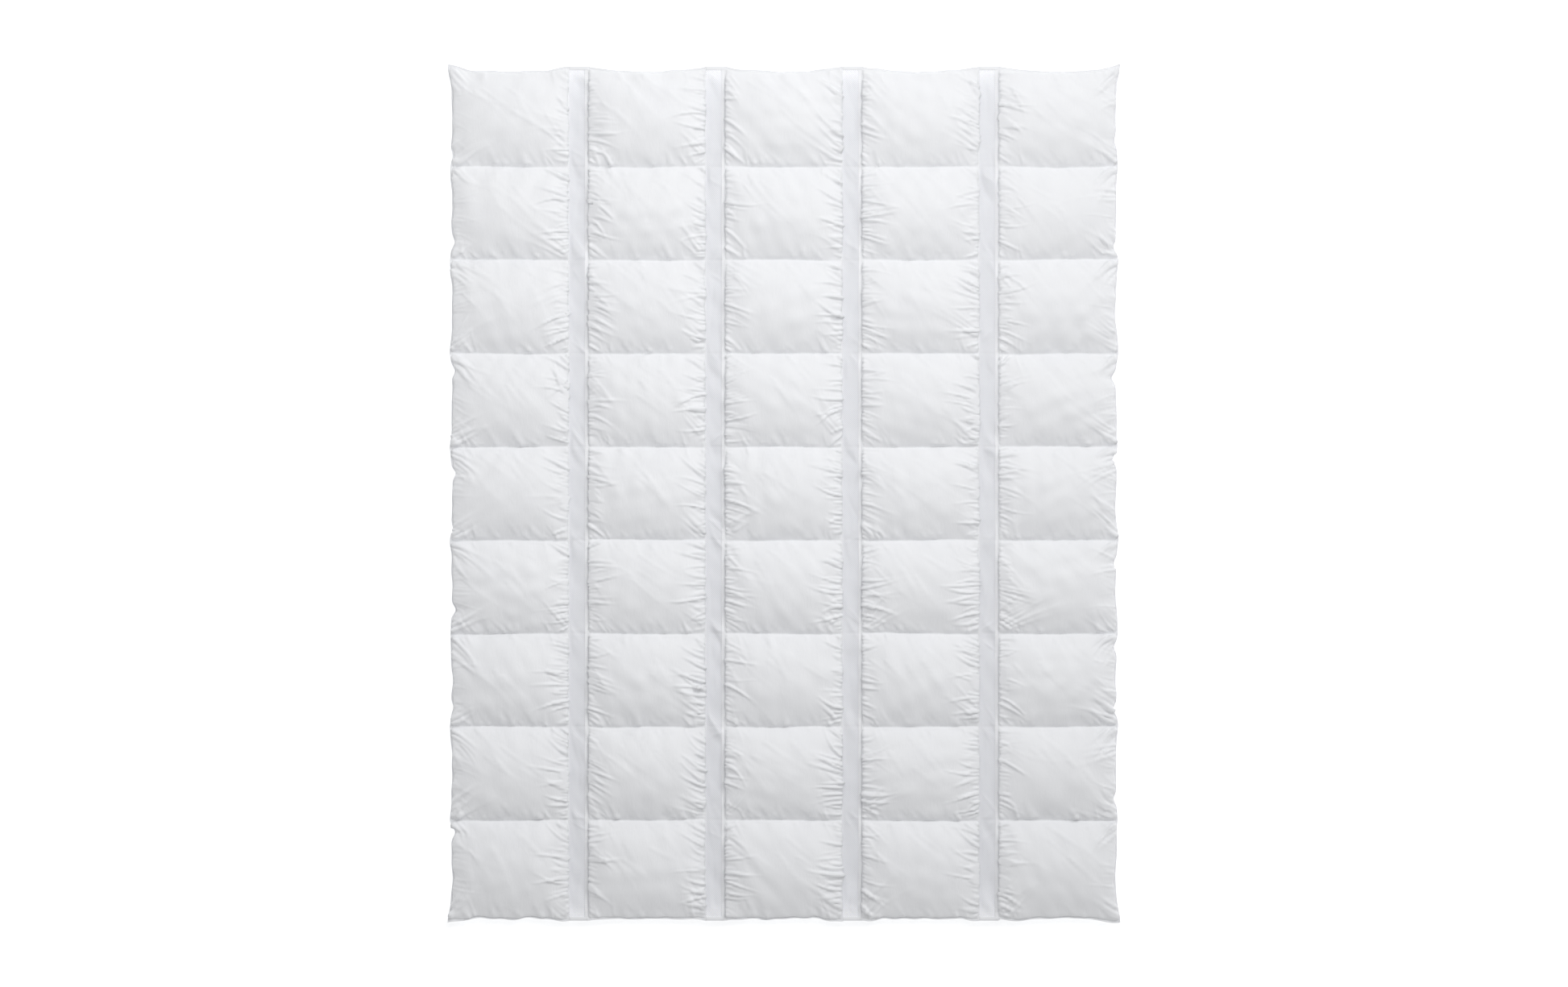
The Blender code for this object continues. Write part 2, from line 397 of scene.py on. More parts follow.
def bundle(x, y, rng, foot, heading, reach, count, height):
    """Several folds side by side that fan out from one corner or seam, each about as long as reach."""
    z = np.zeros_like(x)
    across = (-math.sin(heading), math.cos(heading))
    middle = (count - 1) / 2
    for k in range(count):
        off = (k - middle) * rng.uniform(0.007, 0.011)
        start = (foot[0] + across[0] * off, foot[1] + across[1] * off)
        turned = heading + 0.05 * (k - middle) + rng.normal(0, 0.06)
        size = height * rng.uniform(0.5, 1.2)
        shape = (reach * rng.uniform(0.6, 1.15), rng.uniform(0.0022, 0.0034), size, rng.normal(0, 0.14))
        z += ridge(x, y, start, turned, *shape)
    return z


def box_folds(x, y, width, length, hems, rng):
    """Folds of one box. x and y run from its -X, -Y corner. hems says which of its sides are the hem."""
    lean = rng.normal(0.20, 0.20)
    z = np.zeros_like(x)
    for side, strength in ((-1, 1.15), (1, 1.35)):
        is_hem = hems[0] if side < 0 else hems[1]
        z += gathers(x, y, width, length, side, rng, lean, strength * (0.22 if is_hem else 1.0))
    inner = (0.02, width - 0.02)
    foot_row, head_row = (0.0, 0.002), (length - 0.002, length)
    upwards = ((1.75, 2.4), (0.02, 0.07), (0.0016, 0.0028), (7e-4, 1.9e-3))
    downwards = ((-1.4, -0.8), (0.02, 0.07), (0.002, 0.003), (4e-4, 1.1e-3))
    z += drags(x, y, rng, (15, 23), (inner, foot_row), *upwards)
    z += drags(x, y, rng, (6, 11), (inner, head_row), *downwards)
    over = ((0.0, width * 0.7), (length * 0.55, length))
    z += drags(x, y, rng, (6, 10), over, (-1.1, -0.55), (0.10, 0.19), (0.0025, 0.004), (4e-4, 9e-4))
    # Most boxes are drawn down towards +X, some the other way.
    across = rng.random() < 0.78
    low_corner = (width - rng.uniform(0, 0.01), rng.uniform(0.012, 0.05))
    heading = rng.uniform(2.2, 2.65)
    if not across:
        low_corner, heading = (rng.uniform(0, 0.01), low_corner[1]), math.pi - heading
    z += bundle(x, y, rng, low_corner, heading, rng.uniform(0.07, 0.15), rng.integers(3, 7), 2.0e-3)
    if rng.random() < 0.6:
        high = (rng.uniform(0, 0.01), length - rng.uniform(0.015, 0.06))
        heading, reach = rng.uniform(-1.0, -0.45), rng.uniform(0.06, 0.12)
        z += bundle(x, y, rng, high, heading, reach, rng.integers(2, 5), 1.6e-3)
    if rng.random() < 0.5:
        side_foot = (width, rng.uniform(0.08, 0.17))
        turn = math.pi + rng.uniform(-0.35, 0.45)
        z += bundle(x, y, rng, side_foot, turn, rng.uniform(0.06, 0.13), rng.integers(2, 4), 2.0e-3)
    for side, is_hem in zip((-1, 1), hems):
        if not is_hem:
            continue
        corner_x = 0.0 if side < 0 else width
        for corner_y, way in ((0.0, 1), (length, -1)):
            heading = way * rng.uniform(0.5, 1.0)
            heading = heading if side < 0 else math.pi - heading
            start = (corner_x, corner_y + way * 0.012)
            z += bundle(x, y, rng, start, heading, rng.uniform(0.06, 0.13), rng.integers(2, 6), 3.0e-3)
            tuck = heading * rng.uniform(0.3, 0.6) if side < 0 else math.pi - (math.pi - heading) * 0.45
            start = (corner_x, corner_y + way * 0.009)
            z += ridge(x, y, start, tuck, 0.045, 0.0045, rng.uniform(0.0015, 0.0038))
    # The down lies in soft lumps.
    for _ in range(14):
        turn, wave = rng.uniform(0, 2 * math.pi), rng.uniform(0.035, 0.085)
        place = (x * math.cos(turn) + y * math.sin(turn)) / wave + rng.random()
        z += 1.6e-4 * np.sin(2 * math.pi * place)
    return z


def folds(plan, column):
    """Fold heights over the whole panel. The laps beside the strips pucker with the gathers."""
    z = np.zeros((len(plan.ys), len(plan.xs)))
    first, last = plan.side_seams
    for row in range(ROWS):
        part, x, y = plan.box(row)
        rng = np.random.default_rng([column, row, 11])
        height = box_folds(x, y, plan.width, ROW_PITCH, hems_of(column), rng)
        row_edge = np.minimum(y, ROW_PITCH - y)
        side_edge = np.minimum(x, plan.width - x)
        z[part] = height * smooth(row_edge / 0.009) * (0.4 + 0.6 * smooth(side_edge / 0.0035))
    for seam, lap in ((first, slice(0, first)), (last, slice(last + 1, None))):
        z[:, lap] = z[:, [seam]] * 0.7
    return z


# ---------------------------------------------------------------- filling a cover with down


def fill_with_down(points, plan):
    """The top panel is cut larger than its seams, and the down blows it up and gathers the spare cloth."""
    rows, lines = points.shape[:2]
    panel = mesh_object("panel", points.reshape(-1, 3), grid_faces(rows, lines).tolist())
    sewn = np.flatnonzero(in_seams(plan).ravel()).tolist()
    panel.vertex_groups.new(name="sewn").add(sewn, 1.0, "REPLACE")
    # The spare length lies beside the strips and fades out towards the middle of the boxes.
    edge = np.minimum(plan.u, 1 - plan.u) * plan.width
    spare = SPARE + SPARE_AT_STRIPS * (1 - smooth(edge / 0.08))
    middle = FIRST_SEAM + (plan.row + 0.5) * ROW_PITCH
    cut = points.copy()
    cut[..., 1] += (points[..., 1] - middle[:, None]) * spare[None, :]
    cut[..., 0] += (points[..., 0] - (plan.left + plan.right) / 2) * SPARE
    panel.shape_key_add(name="sewn in place")
    key = panel.shape_key_add(name="cut")
    key.data.foreach_set("co", cut.ravel())
    key.value = 0
    cloth = panel.modifiers.new("cloth", "CLOTH")
    settings = cloth.settings
    settings.rest_shape_key = key
    settings.vertex_group_mass = "sewn"
    settings.pin_stiffness = 1
    settings.quality = 4
    settings.mass = 0.15
    settings.tension_stiffness = settings.compression_stiffness = 15
    settings.shear_stiffness = 5
    settings.bending_stiffness = 0.005
    settings.air_damping = 2
    settings.use_pressure = True
    settings.uniform_pressure_force = 3
    settings.effector_weights.gravity = 0
    cloth.collision_settings.use_collision = False
    cloth.collision_settings.use_self_collision = False
    cloth.point_cache.frame_end = FRAMES + 1
    for frame_number in range(1, FRAMES + 1):
        bpy.context.scene.frame_set(frame_number)
    blown = panel.evaluated_get(bpy.context.evaluated_depsgraph_get()).data
    out = np.empty(len(blown.vertices) * 3)
    blown.vertices.foreach_get("co", out)
    bpy.data.objects.remove(panel)
    bpy.context.scene.frame_set(1)
    return out.reshape(points.shape)


def normals_of(points):
    across, along = np.gradient(points, axis=1), np.gradient(points, axis=0)
    normal = np.cross(across, along)
    return normal / np.maximum(np.linalg.norm(normal, axis=-1, keepdims=True), 1e-12)


def flattened(depth):
    """Depth under the seams, held by the bed that the duvet lies on."""
    sharpness = 450.0
    return -np.log(np.exp(-depth * sharpness) + math.exp(-DEPTH * sharpness)) / sharpness


def bottom_panel(plan, x, y, ripple, column):
    """The underside: blown down on to the bed, and puckered near its seams."""
    rng = np.random.default_rng([column, 77])
    fold = np.zeros((len(plan.ys), len(plan.xs)))
    for row in range(ROWS):
        part, box_x, box_y = plan.box(row)
        fold[part] = box_folds(box_x, box_y, plan.width, ROW_PITCH, hems_of(column), rng)
    puff = puffed(plan, 0.6, 0.6)
    edge = 1 - smooth((puff - 0.25) / 0.5)
    depth = flattened(1.55 * DEPTH * puff) - 0.8 * fold * edge * smooth(puff / 0.2)
    lap = np.where(in_seams(plan), CLOTH / 2 + lap_rise(plan), CLOTH / 2)
    z = np.maximum(SEAM_Z - lap - depth + ripple, FLOOR_Z + BED_GAP)
    return np.stack([x, y, z], axis=-1)


def lap_rise(plan):
    """How far a panel stands off the seam plane over the mesh's edge and in the folded hem."""
    rise = np.zeros((len(plan.ys), len(plan.xs)))
    first, last = plan.side_seams
    rise[:, :first] = rise[:, last + 1 :] = LAP_RISE
    rise[: plan.row_seams[0]] = rise[plan.row_seams[-1] + 1 :] = HEM_RISE
    rise[:, first] = rise[:, last] = SEAM_RISE
    return rise


def cover_mesh(name, top, bottom, top_plan, bottom_plan):
    """One closed shell: the fine top panel, the coarser bottom panel, and the turned edge between them."""
    rows, lines = top.shape[:2]
    low_rows, low_lines = bottom.shape[:2]
    first = rows * lines
    faces = grid_faces(rows, lines).tolist()
    faces += grid_faces(low_rows, low_lines, first, flipped=True).tolist()
    # The turned edge, side by side, has three upper points to each two lower ones.
    sides = [
        (low_lines, lambda k: k, lambda k: first + k),
        (low_rows, lambda k: k * lines + lines - 1, lambda k: first + k * low_lines + low_lines - 1),
        (
            low_lines,
            lambda k: (rows - 1) * lines + lines - 1 - k,
            lambda k: first + (low_rows - 1) * low_lines + low_lines - 1 - k,
        ),
        (
            low_rows,
            lambda k: (rows - 1 - k) * lines,
            lambda k: first + (low_rows - 1 - k) * low_lines,
        ),
    ]
    for count, upper, lower in sides:
        for k in range(count - 1):
            faces.append([lower(k), lower(k + 1), upper(2 * k + 2), upper(2 * k + 1), upper(2 * k)])
    points = np.concatenate([top.reshape(-1, 3), bottom.reshape(-1, 3)])
    obj = mesh_object(name, points, faces)
    # The cut panels lie flat in the UV map, in metres, the bottom one beside the top one.
    tu, tv = np.meshgrid(top_plan.xs, top_plan.ys)
    bu, bv = np.meshgrid(bottom_plan.xs + 2.0, bottom_plan.ys)
    flat = np.concatenate([np.stack([tu, tv], -1).reshape(-1, 2), np.stack([bu, bv], -1).reshape(-1, 2)])
    layer = obj.data.uv_layers.new(name="cut_panels")
    corner = np.empty(len(obj.data.loops), np.int32)
    obj.data.loops.foreach_get("vertex_index", corner)
    layer.data.foreach_set("uv", flat[corner].ravel())
    obj.data.shade_smooth()
    return obj


def make_cover(column):
    """The cover of one column, and the points and the plan of its top panel."""
    coarse = plan_of(column)
    x, y = spread(coarse, column)
    top = top_start(coarse, x, y)
    # The folds are already laid in the cloth when the down blows it up.
    laid = normals_of(top) * folds(coarse, column)[..., None]
    laid[in_seams(coarse)] = 0
    top = fill_with_down(top + laid, coarse)
    fine = coarse.halved()
    for axis, creases in ((0, coarse.row_seams), (1, coarse.side_seams)):
        top = np.moveaxis(halve(np.moveaxis(top, axis, 0), creases), 0, axis)
    bulge(top, fine, column)
    height = folds(fine, column)
    sewn = in_seams(fine)
    normal = normals_of(top)
    normal[sewn] = (0, 0, 1)
    top += normal * height[..., None]
    top[..., 2] += lap_rise(fine)
    top[..., 2] = np.minimum(top[..., 2], CROWN_Z + HIGHEST)
    leave_room(top, column)
    ripple = np.where(in_seams(coarse), height[::2, ::2], 0.0)
    bottom = bottom_panel(coarse, x, y, ripple, column)
    # The turned edge follows the upper panel.
    for edge in (np.s_[0, :], np.s_[-1, :], np.s_[:, 0], np.s_[:, -1]):
        bottom[..., :2][edge] = top[::2, ::2, :2][edge]
    return cover_mesh(f"cover_c{column}", top, bottom, fine, coarse), top, fine


# ---------------------------------------------------------------- node trees


def add(tree, kind, inputs=(), **settings):
    """Adds a node with its settings. An input's value is a number, a colour, or another node's output."""
    node = tree.nodes.new(kind)
    for name, value in settings.items():
        setattr(node, name, value)
    for name, value in dict(inputs).items():
        if isinstance(value, bpy.types.NodeSocket):
            tree.links.new(value, node.inputs[name])
        else:
            node.inputs[name].default_value = value
    return node


def geometry_tree(name, sizes):
    """A geometry tree with named inputs for its sizes, and its group input node."""
    tree = bpy.data.node_groups.new(name, "GeometryNodeTree")
    face = tree.interface
    face.new_socket("Geometry", in_out="INPUT", socket_type="NodeSocketGeometry")
    for label, kind in sizes:
        face.new_socket(label, in_out="INPUT", socket_type=kind)
    face.new_socket("Geometry", in_out="OUTPUT", socket_type="NodeSocketGeometry")
    return tree, tree.nodes.new("NodeGroupInput")


def close_tree(tree, geometry, material):
    """Ends a tree as the export needs it: smooth, real geometry with its material."""
    soft = add(tree, "GeometryNodeSetShadeSmooth", {"Geometry": geometry})
    real = add(tree, "GeometryNodeRealizeInstances", {"Geometry": soft.outputs["Geometry"]})
    dressed = add(
        tree, "GeometryNodeSetMaterial", {"Geometry": real.outputs["Geometry"], "Material": material}
    )
    add(tree, "NodeGroupOutput", {"Geometry": dressed.outputs["Geometry"]})


def stitch_tree(material):
    """Stitches along every line of a wire mesh."""
    sizes = [
        ("Stitch pitch", "NodeSocketFloat"),
        ("Stitch length", "NodeSocketFloat"),
        ("Thread thickness", "NodeSocketFloat"),
        ("Seed", "NodeSocketInt"),
    ]
    tree, given = geometry_tree("stitches", sizes)
    out = given.outputs
    line = add(tree, "GeometryNodeMeshToCurve", {"Mesh": out["Geometry"]})
    dotted = add(
        tree,
        "GeometryNodeResampleCurve",
        {"Curve": line.outputs["Curve"], "Length": out["Stitch pitch"]},
        mode="LENGTH",
    )
    tangent = add(tree, "GeometryNodeInputTangent")
    turn = add(tree, "FunctionNodeAlignRotationToVector", {"Vector": tangent.outputs["Tangent"]}, axis="X")
    stitch = add(tree, "GeometryNodeMeshIcoSphere", {"Radius": 0.5, "Subdivisions": 1})
    size = add(
        tree,
        "ShaderNodeCombineXYZ",
        {"X": out["Stitch length"], "Y": out["Thread thickness"], "Z": out["Thread thickness"]},
    )
    vary = add(tree, "FunctionNodeRandomValue", {"Seed": out["Seed"]}, data_type="FLOAT")
    vary.inputs["Min"].default_value = 0.85
    vary.inputs["Max"].default_value = 1.15
    scaled = add(
        tree,
        "ShaderNodeVectorMath",
        {0: size.outputs["Vector"], "Scale": next(o for o in vary.outputs if o.enabled)},
        operation="SCALE",
    )
    sewn = add(
        tree,
        "GeometryNodeInstanceOnPoints",
        {
            "Points": dotted.outputs["Curve"],
            "Instance": stitch.outputs["Mesh"],
            "Rotation": turn.outputs["Rotation"],
            "Scale": scaled.outputs["Vector"],
        },
    )
    close_tree(tree, sewn.outputs["Instances"], material)
    return tree


def eyelet_tree(material):
    """Opens a hole in each diamond of the knitted mesh."""
    tree, given = geometry_tree("eyelets", [("Hole share", "NodeSocketFloat")])
    ring = add(
        tree,
        "GeometryNodeExtrudeMesh",
        {"Mesh": given.outputs["Geometry"], "Offset Scale": 0.0, "Individual": True},
        mode="FACES",
    )
    shrunk = add(
        tree,
        "GeometryNodeScaleElements",
        {
            "Geometry": ring.outputs["Mesh"],
            "Selection": ring.outputs["Top"],
            "Scale": given.outputs["Hole share"],
        },
        domain="FACE",
    )
    open_mesh = add(
        tree,
        "GeometryNodeDeleteGeometry",
        {"Geometry": shrunk.outputs["Geometry"], "Selection": ring.outputs["Top"]},
        domain="FACE",
    )
    close_tree(tree, open_mesh.outputs["Geometry"], material)
    return tree


def grown(obj, name, tree, sizes):
    """The plain mesh object that a geometry tree makes from obj, which it takes the place of."""
    modifier = obj.modifiers.new("grow", "NODES")
    modifier.node_group = tree
    for item in tree.interface.items_tree:
        if item.in_out == "INPUT" and item.name in sizes:
            modifier[item.identifier] = sizes[item.name]
    graph = bpy.context.evaluated_depsgraph_get()
    graph.update()
    mesh = bpy.data.meshes.new_from_object(obj.evaluated_get(graph))
    bpy.data.objects.remove(obj)
    mesh.name = name
    made = bpy.data.objects.new(name, mesh)
    bpy.context.scene.collection.objects.link(made)
    return made


# ---------------------------------------------------------------- materials


def linear(code):
    """The linear RGBA colour of an sRGB hex code."""
    parts = [int(code[k : k + 2], 16) / 255 for k in (1, 3, 5)]
    return (*[c / 12.92 if c <= 0.04045 else ((c + 0.055) / 1.055) ** 2.4 for c in parts], 1.0)


def new_material(name, colour, roughness):
    material = bpy.data.materials.new(name)
    material.use_nodes = True
    tree = material.node_tree
    shader = tree.nodes["Principled BSDF"]
    shader.inputs["Base Color"].default_value = linear(colour)
    shader.inputs["Roughness"].default_value = roughness
    shader.inputs["Metallic"].default_value = 0.0
    shader.inputs["IOR"].default_value = 1.5
    return material, tree, shader


def waves(tree, place, pitch, way, distortion=0.0, detail=2.0):
    """Bands of thread that lie a pitch apart."""
    scale = 1 / pitch / 20 * math.pi
    inputs = {"Vector": place, "Scale": scale, "Distortion": distortion, "Detail": detail}
    return add(tree, "ShaderNodeTexWave", inputs, bands_direction=way).outputs["Fac"]


def relief(tree, height, strength, distance, **normal):
    """A bump node's normal. normal may name the Normal that it starts from."""
    inputs = {"Height": height, "Strength": strength, "Distance": distance, **normal}
    return add(tree, "ShaderNodeBump", inputs).outputs["Normal"]


def two_whites(tree, factor, dark, light):
    """A colour that goes from the one white to the other with factor."""
    inputs = {"Factor": factor, "A": linear(dark), "B": linear(light)}
    return add(tree, "ShaderNodeMix", inputs, data_type="RGBA").outputs["Result"]


def down_proof_ticking():
    """Down-proof cotton ticking: a dense plain weave pressed between rollers.

    It is a cool white that creases sharply, like thin paper, with a faint bloom from the pressed surface.
    """
    material, tree, shader = new_material("cotton_down_proof_ticking", "#F1F3F7", 0.62)
    shader.inputs["Sheen Weight"].default_value = 0.12
    shader.inputs["Sheen Roughness"].default_value = 0.45
    place = add(tree, "ShaderNodeUVMap", uv_map="cut_panels").outputs["UV"]
    # Fine creases that the washed cloth keeps, longer along the diagonal pull of the boxes.
    pulled = add(tree, "ShaderNodeMapping", {"Vector": place, "Rotation": (0, 0, 0.7), "Scale": (1, 0.35, 1)})
    uneven = {"Scale": 110.0, "Detail": 4.0, "Roughness": 0.62, "Distortion": 0.4}
    crease = add(tree, "ShaderNodeTexNoise", {"Vector": pulled.outputs["Vector"], **uneven})
    # Threads lie 0.28 mm apart, drawn 1.1 mm apart so that the weave still shows close up.
    warp, weft = (waves(tree, place, 0.0011, way, distortion=0.6, detail=1.0) for way in ("X", "Y"))
    weave = add(tree, "ShaderNodeMath", {0: warp, 1: weft}, operation="MULTIPLY")
    crumple = relief(tree, crease.outputs["Fac"], 0.5, 0.0012)
    woven = relief(tree, weave.outputs["Value"], 0.10, 0.0002, Normal=crumple)
    tree.links.new(woven, shader.inputs["Normal"])
    # Slubs and uneven bleaching make the white vary a little.
    cloudy = add(tree, "ShaderNodeTexNoise", {"Vector": place, "Scale": 9.0, "Detail": 3.0})
    white = two_whites(tree, cloudy.outputs["Fac"], "#EFF0F3", "#F4F5F7")
    tree.links.new(white, shader.inputs["Base Color"])
    return material


def knitted_mesh():
    """Warp-knitted polyester mesh: smooth bluish-white filament, a little greyer than the cotton."""
    material, tree, shader = new_material("knitted_polyester_mesh", "#F4F5F8", 0.5)
    place = add(tree, "ShaderNodeTexCoord").outputs["Object"]
    # Knitted loops are 0.5 mm apart, drawn 1.2 mm apart so that they show.
    loops = waves(tree, place, 0.0012, "DIAGONAL", distortion=1.5, detail=1.0)
    tree.links.new(relief(tree, loops, 0.25, 0.0003), shader.inputs["Normal"])
    tree.links.new(two_whites(tree, loops, "#EFF0F5", "#F6F7FB"), shader.inputs["Base Color"])
    return material


def woven_tape():
    """Woven cotton tape: ribs across it, and a matt, cool white a little lighter than the mesh."""
    material, tree, shader = new_material("woven_cotton_tape", "#F2F4F8", 0.7)
    place = add(tree, "ShaderNodeTexCoord").outputs["Object"]
    # Ribs are 0.6 mm apart, drawn 1.5 mm apart so that they show.
    ribs = waves(tree, place, 0.0015, "Y", distortion=0.8)
    tree.links.new(relief(tree, ribs, 0.3, 0.0003), shader.inputs["Normal"])
    tree.links.new(two_whites(tree, ribs, "#F3F4F8", "#FBFCFD"), shader.inputs["Base Color"])
    return material


def polyester_thread():
    """Spun polyester thread: bright white, with a slight lustre and a twist."""
    material, tree, shader = new_material("spun_polyester_thread", "#F7F8FA", 0.45)
    place = add(tree, "ShaderNodeTexCoord").outputs["Object"]
    # The twist is drawn 0.8 mm apart.
    twist = waves(tree, place, 0.0008, "DIAGONAL")
    tree.links.new(relief(tree, twist, 0.3, 0.0002), shader.inputs["Normal"])
    return material


def studio_floor():
    """Matt white sweep with a painted glow: painted light keeps it white round the duvet and beside its
    edges, and a weaker glow under the duvet stands for its shadow.
    """
    material, tree, shader = new_material("white_studio_floor", "#F6F7F8", 0.8)
    shader.inputs["Emission Color"].default_value = linear("#FFFFFF")
    place = add(tree, "ShaderNodeTexCoord").outputs["Object"]
    part = add(tree, "ShaderNodeSeparateXYZ", {"Vector": place})
    outside = []
    half_width, half_length = (cad_box[1].x - cad_box[0].x) / 2, (HEAD - FOOT) / 2
    # Painted light and shadow: the glow fades from full just inside the duvet's outline to its weak level
    # further under the duvet.
    for axis, half_side, ramp in (("X", half_width, 0.25), ("Y", half_length, 0.045)):
        far = add(tree, "ShaderNodeMath", {0: part.outputs[axis]}, operation="ABSOLUTE")
        glow = add(
            tree,
            "ShaderNodeMapRange",
            {
                "Value": far.outputs["Value"],
                "From Min": half_side - ramp,
                "From Max": half_side - 0.005,
                "To Min": FLOOR_GLOW_BELOW,
                "To Max": FLOOR_GLOW,
            },
            interpolation_type="SMOOTHSTEP",
        )
        outside.append(glow.outputs["Result"])
    most = add(tree, "ShaderNodeMath", {0: outside[0], 1: outside[1]}, operation="MAXIMUM")
    tree.links.new(most.outputs["Value"], shader.inputs["Emission Strength"])
    return material


# ---------------------------------------------------------------- strips


def strip_shape(strip):
    """A function that gives the height of a strip's cloth at x, y, and the strip's middle in X.

    The cloth hangs a little slack and crumpled.
    """
    rng = np.random.default_rng(900 + strip)
    low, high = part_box(f"mesh_strip_{strip}")
    middle = (low.x + high.x) / 2
    inner = (high.x - low.x) / 2 - SEAM_LAP
    creases = []
    for k in range(ROWS + 1):
        for _ in range(rng.integers(2, 5)):
            at = FIRST_SEAM + k * ROW_PITCH + rng.normal(0, 0.022)
            heading = rng.choice([-1, 1], p=[0.75, 0.25]) * rng.uniform(0.45, 1.2)
            shape = (heading, rng.uniform(0.014, 0.035), rng.uniform(0.003, 0.008))
            creases.append((rng.uniform(-0.6, 0.6) * inner, at, *shape, rng.uniform(0.0010, 0.0026)))
        for _ in range(rng.integers(1, 3)):
            at = FIRST_SEAM + k * ROW_PITCH + rng.normal(-0.02, 0.035)
            shape = (-rng.uniform(0.7, 1.25), rng.uniform(0.03, 0.06), rng.uniform(0.009, 0.016))
            size = rng.choice([-1, 1]) * rng.uniform(0.0018, 0.0036)
            creases.append((rng.uniform(-0.5, 0.5) * inner, at, *shape, size))
    for _ in range(2 * ROWS):
        at = rng.uniform(FOOT, HEAD)
        heading = rng.normal(math.pi / 2, 0.22)
        shape = (heading, rng.uniform(0.03, 0.08), rng.uniform(0.004, 0.008))
        size = rng.choice([-1, 1]) * rng.uniform(0.0006, 0.0016)
        creases.append((rng.uniform(-0.6, 0.6) * inner, at, *shape, size))
    sway = [(rng.uniform(0.05, 0.14), rng.random(), rng.uniform(-1, 1)) for _ in range(6)]

    def height(x, y):
        z = np.zeros_like(x)
        for cx, cy, heading, reach, width, size in creases:
            near = abs(y - cy) < 3 * reach
            if not near.any():
                continue
            dx, dy = x[near] - middle - cx, y[near] - cy
            along = dx * math.cos(heading) + dy * math.sin(heading)
            off = dy * math.cos(heading) - dx * math.sin(heading)
            z[near] += size * np.exp(-((along / reach) ** 2) - (off / width) ** 2)
        # The row seams run on across the strip and dent it.
        for r in range(1, ROWS):
            seam_y = FIRST_SEAM + r * ROW_PITCH + row_seam_shift(r)
            z -= ROW_DENT * np.exp(-(((y - seam_y) / 0.0032) ** 2))
        for wave, phase, tilt in sway:
            z += 0.0005 * np.sin(2 * math.pi * (y / wave + phase + tilt * (x - middle) / 0.05))
        away = smooth((inner - abs(x - middle)) / 0.010) * smooth((HEAD - 0.008 - abs(y)) / 0.03)
        return SEAM_Z + z * away

    return height, middle


def make_mesh_strip(strip, height, tree):
    """A diamond lattice over the strip, with a hole in each diamond."""
    low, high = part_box(f"mesh_strip_{strip}")
    lines = 2 * round((high.x - low.x) / MESH_CELL / 2) + 1
    rows = 2 * round((high.y - low.y) / MESH_CELL / 2) + 1
    j, i = np.meshgrid(np.arange(rows), np.arange(lines), indexing="ij")
    x = low.x + (high.x - low.x) * i / (lines - 1)
    y = low.y + (high.y - low.y) * j / (rows - 1)
    even = (i + j) % 2 == 0
    number = np.cumsum(even.ravel()).reshape(even.shape) - 1
    points = np.stack([x, y, height(x, y)], axis=-1)[even]
    faces = []
    for r in range(rows):
        for c in range((r + 1) % 2, lines, 2):
            around = [(r - 1, c), (r, c + 1), (r + 1, c), (r, c - 1)]
            kept = [number[a, b] for a, b in around if 0 <= a < rows and 0 <= b < lines]
            faces.append([int(n) for n in kept])
    lattice = mesh_object("lattice", points, faces)
    return grown(lattice, f"mesh_strip_cloth_{strip}", tree, {"Hole share": HOLE_SHARE})


def band(name, centre, half_width, half_thick, across, up):
    """A closed flat band with rounded edges, swept along the points in centre."""
    profile = []
    for k in range(12):
        turn = 2 * math.pi * k / 12
        a, b = math.cos(turn), math.sin(turn)
        profile.append((math.copysign(abs(a) ** 0.25, a), math.copysign(abs(b) ** 0.5, b)))
    sides = len(profile)
    rings = [centre + across * (half_width * a) + up * (half_thick * b) for a, b in profile]
    points = np.stack(rings, axis=1).reshape(-1, 3)
    count = len(centre)
    faces = []
    for k in range(count - 1):
        for s in range(sides):
            a, b = k * sides + s, k * sides + (s + 1) % sides
            faces.append([a, a + sides, b + sides, b])
    faces.append(list(range(sides)))
    faces.append([(count - 1) * sides + s for s in reversed(range(sides))])
    obj = mesh_object(name, points, faces)
    obj.data.shade_smooth()
    return obj


# ---------------------------------------------------------------- building

ticking = down_proof_ticking()
polyester_mesh = knitted_mesh()
cotton_tape = woven_tape()
thread = polyester_thread()
sewing = stitch_tree(thread)
eyelets = eyelet_tree(polyester_mesh)


def wire(name, lines):
    """A wire mesh of several separate lines."""
    points, edges = [], []
    for line in lines:
        first = len(points)
        points += [tuple(p) for p in line]
        edges += [(first + k, first + k + 1) for k in range(len(line) - 1)]
    return mesh_object(name, points, [], edges)


def sew(name, lines, seed):
    """Stitches along several lines."""
    return grown(wire("lines", lines), name, sewing, {**STITCHES, "Seed": seed})


def make_column(column):
    cover, top, plan = make_cover(column)
    cover.data.materials.append(ticking)
    body = f"column_{column}"
    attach(cover, body)
    fills = [f"down_fill_c{column}_r{r}" for r in range(1, ROWS + 1)]
    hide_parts(f"top_ticking_c{column}", f"bottom_ticking_c{column}", *fills)
    lift = np.array([0, 0, STITCH_LIFT])
    first, last = plan.side_seams
    rows = plan.row_seams
    lines = [top[rows[0] : rows[-1] + 1, k] + lift for k in (first, last)]
    lines += [top[r, first : last + 1] + lift for r in rows]
    for is_hem, edge in zip(hems_of(column), (1, len(plan.xs) - 2)):
        if is_hem:
            lines.append(top[1:-1, edge] + lift)
    lines += [top[r, 1:-1] + lift for r in (1, len(plan.ys) - 2)]
    stitches = sew(f"seam_stitches_c{column}", lines, column)
    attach(stitches, body)


